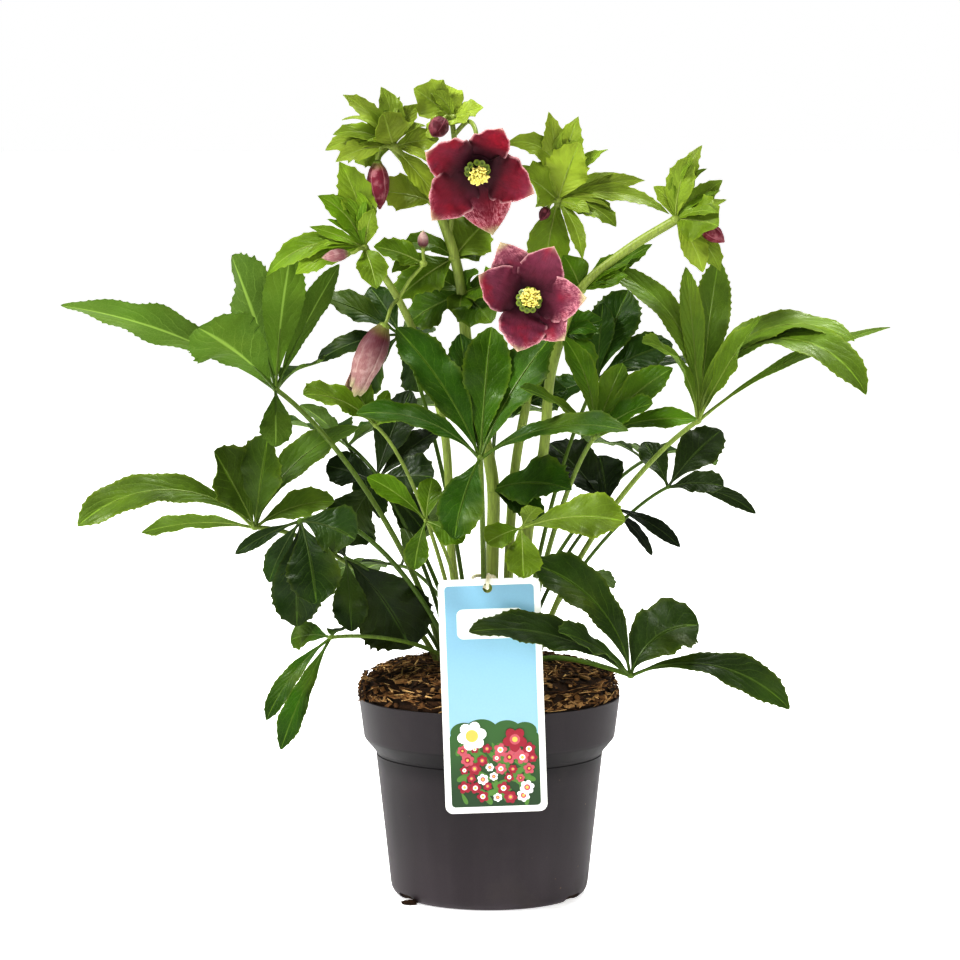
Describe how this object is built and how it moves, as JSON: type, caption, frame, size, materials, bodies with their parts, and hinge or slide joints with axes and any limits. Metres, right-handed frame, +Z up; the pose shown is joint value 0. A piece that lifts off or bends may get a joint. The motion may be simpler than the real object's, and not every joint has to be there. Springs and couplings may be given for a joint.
{
  "type": "hellebore plant in a round nursery pot",
  "caption": "Clump of toothed, hand-shaped leaves and branching flower stems with plum flowers and buds, rooted in bark compost in a round tapered nursery pot with a hanging plant label.",
  "frame": {"origin": "centre of the pot's underside, where it rests", "axes": "+Z up along the pot's axis, +X to the plant's right seen from its front, +Y to its back"},
  "size_m": [0.5271, 0.3317, 0.5283],
  "materials": {
    "pot_plastic": "thin moulded nursery pot, dark warm grey, satin",
    "bark_compost": "loose bark and coir chips, brown with lighter chips",
    "label_card": null,
    "strap_plastic": "thin cream plastic strap",
    "old_leaf": "leathery dark green leaf with paler veins and underside",
    "young_leaf": "soft bright green leaf with paler veins",
    "green_stem": "smooth pale green stems with bright green bracts",
    "bud_sepal": "folded plum to pale pink sepals with fine veins",
    "plum_sepal": "plum red sepals with pale pink veined edges",
    "green_nectary": "waxy yellow-green tubes",
    "yellow_stamen": "pale yellow stamens"
  },
  "bodies": {
    "root": {"pot": "pot_plastic", "soil": "bark_compost", "label": "label_card", "label_strap": "strap_plastic", "leaf_upper_left": "old_leaf", "leaf_middle_left": "old_leaf", "leaf_crinkled_left": "old_leaf", "leaf_drooping_left": "old_leaf", "leaf_inner_left": "old_leaf", "leaf_centre": "old_leaf", "leaf_centre_right": "old_leaf", "leaf_upper_right": "old_leaf", "leaf_dark_right": "old_leaf", "leaf_dark_inner_right": "old_leaf", "leaf_front_right": "old_leaf", "leaf_young_front": "young_leaf", "leaf_middle_centre_left": "old_leaf", "leaf_young_left": "young_leaf", "leaf_young_upper_left": "young_leaf", "leaf_high_left": "old_leaf", "leaf_high_right": "old_leaf", "leaf_rear_right": "old_leaf", "leaf_rear_left": "old_leaf", "leaf_rear": "old_leaf", "leaf_low_rear_left": "old_leaf", "leaf_low_rear_right": "old_leaf", "stem_left": "green_stem", "stem_main": "green_stem", "stem_right": "green_stem", "stem_upper_right": "green_stem", "bud_hanging": "bud_sepal", "bud_top": "bud_sepal", "bud_right": "bud_sepal", "bud_pale": "bud_sepal", "bud_small_left": "bud_sepal", "bud_small_upright": "bud_sepal", "bud_dark": "bud_sepal", "flower_upper_sepals": "plum_sepal", "flower_upper_nectaries": "green_nectary", "flower_upper_stamens": "yellow_stamen", "flower_lower_sepals": "plum_sepal", "flower_lower_nectaries": "green_nectary", "flower_lower_stamens": "yellow_stamen"}
  },
  "joints": []
}
